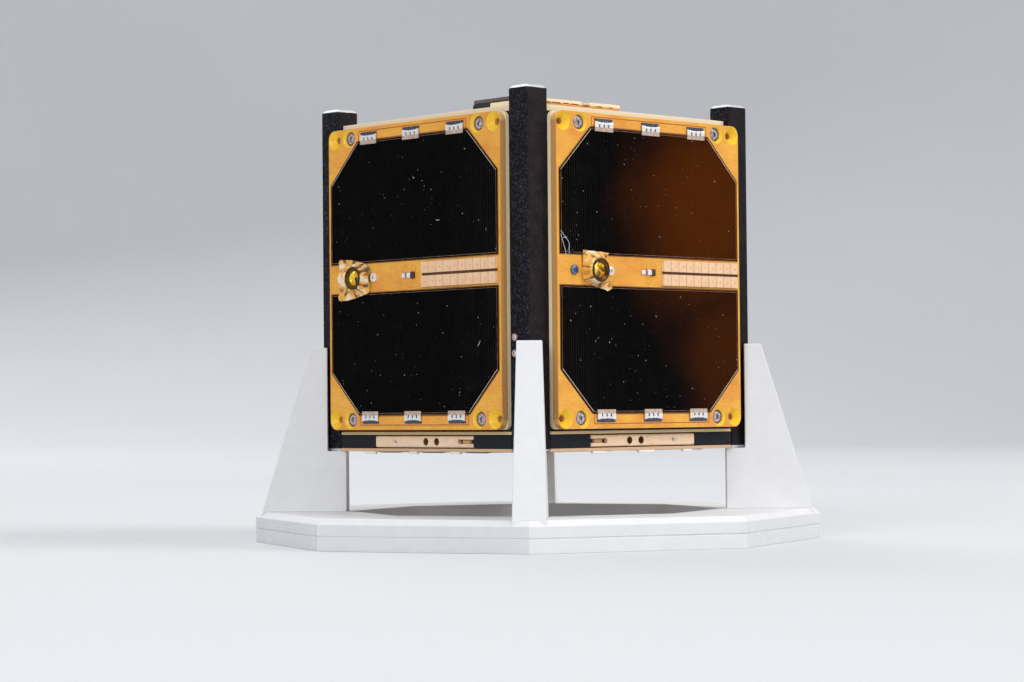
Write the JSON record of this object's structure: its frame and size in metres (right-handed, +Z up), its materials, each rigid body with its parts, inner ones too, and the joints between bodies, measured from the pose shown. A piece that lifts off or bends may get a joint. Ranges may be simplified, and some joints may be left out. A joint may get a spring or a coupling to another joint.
{
  "type": "one-unit cube satellite on a display stand",
  "caption": "Cube satellite with black corner rails, solar panels on every side and small antenna doors underneath, resting in a white printed stand.",
  "frame": {"origin": "on the floor, under the centre of the stand's ring and of the satellite", "axes": "+Z up along the rails; the X- and Y- sides are the two that show, and their shared edge is the front corner"},
  "size_m": [0.1874, 0.1874, 0.1435],
  "materials": {
    "black_anodised": "black anodised, bright bare chamfers at the ends",
    "black_frame": "black, fine machined grain",
    "khaki_board": "bare glass-fibre board edge",
    "cream_board": "bare glass-fibre board edge",
    "amber_face": "amber polyimide film, satin",
    "black_connector": "moulded, satin",
    "bright_metal": "fine brushed",
    "stack_block": null,
    "tape_steel": "rolled spring tape",
    "chip_black": "moulded",
    "solar_cell": "glossy cover glass over dark cells, opaque",
    "tab_silver": "silver foil, bright",
    "white_print": "printed in fine layers",
    "screw_steel": "plain steel",
    "sensor_brass": "dark rim round an amber window",
    "pad_block": "pale board with plated pads",
    "tan_door": "bare glass-fibre composite, satin"
  },
  "bodies": {
    "satellite_and_stand": {"antenna_frame": "black_frame", "antenna_tapes": "tape_steel", "bottom_board": "cream_board", "bottom_cells": "solar_cell", "bottom_tabs": "tab_silver", "cell_tabs_xminus": "tab_silver", "cell_tabs_xplus": "tab_silver", "cell_tabs_yminus": "tab_silver", "cell_tabs_yplus": "tab_silver", "contact_block_xminus": "pad_block", "contact_block_xplus": "pad_block", "contact_block_yminus": "pad_block", "contact_block_yplus": "pad_block", "electronics_stack": "stack_block", "hinge_pins": "bright_metal", "lower_frame_bars": "black_anodised", "module_board": "khaki_board", "panel_screws_xminus": "screw_steel", "panel_screws_xplus": "screw_steel", "panel_screws_yminus": "screw_steel", "panel_screws_yplus": "screw_steel", "rail_back": "black_anodised", "rail_contact_pins": "bright_metal", "rail_front": "black_anodised", "rail_left": "black_anodised", "rail_right": "black_anodised", "solar_board_xminus": "cream_board", "solar_board_xplus": "cream_board", "solar_board_yminus": "cream_board", "solar_board_yplus": "cream_board", "solar_cells_xminus": "solar_cell", "solar_cells_xplus": "solar_cell", "solar_cells_yminus": "solar_cell", "solar_cells_yplus": "solar_cell", "solar_face_xminus": "amber_face", "solar_face_xplus": "amber_face", "solar_face_yminus": "amber_face", "solar_face_yplus": "amber_face", "stack_spacers": "bright_metal", "stand_post_back": "white_print", "stand_post_front": "white_print", "stand_post_left": "white_print", "stand_post_right": "white_print", "stand_ring": "white_print", "strip_chips": "chip_black", "sun_sensor_xminus": "sensor_brass", "sun_sensor_xplus": "sensor_brass", "sun_sensor_yminus": "sensor_brass", "sun_sensor_yplus": "sensor_brass", "top_board": "cream_board", "top_cells": "solar_cell", "top_connector": "black_connector", "top_connector_shell": "bright_metal", "top_contact_strips": "cream_board", "top_tabs": "tab_silver", "upper_frame_bars": "black_anodised"},
    "door_yminus": {"antenna_door_yminus": "tan_door"},
    "door_xminus": {"antenna_door_xminus": "tan_door"},
    "door_yplus": {"antenna_door_yplus": "tan_door"},
    "door_xplus": {"antenna_door_xplus": "tan_door"}
  },
  "joints": [
    {"name": "door_yminus_hinge", "type": "hinge", "parent": "satellite_and_stand", "child": "door_yminus", "pos_m": [-0.0228, -0.0492, 0.0332], "axis": [0, 0, -1], "range_deg": [0, 100]},
    {"name": "door_xminus_hinge", "type": "hinge", "parent": "satellite_and_stand", "child": "door_xminus", "pos_m": [-0.0492, -0.0228, 0.0332], "axis": [0, 0, 1], "range_deg": [0, 100]},
    {"name": "door_yplus_hinge", "type": "hinge", "parent": "satellite_and_stand", "child": "door_yplus", "pos_m": [0.0228, 0.0492, 0.0332], "axis": [0, 0, -1], "range_deg": [0, 100]},
    {"name": "door_xplus_hinge", "type": "hinge", "parent": "satellite_and_stand", "child": "door_xplus", "pos_m": [0.0492, 0.0228, 0.0332], "axis": [0, 0, 1], "range_deg": [0, 100]}
  ]
}
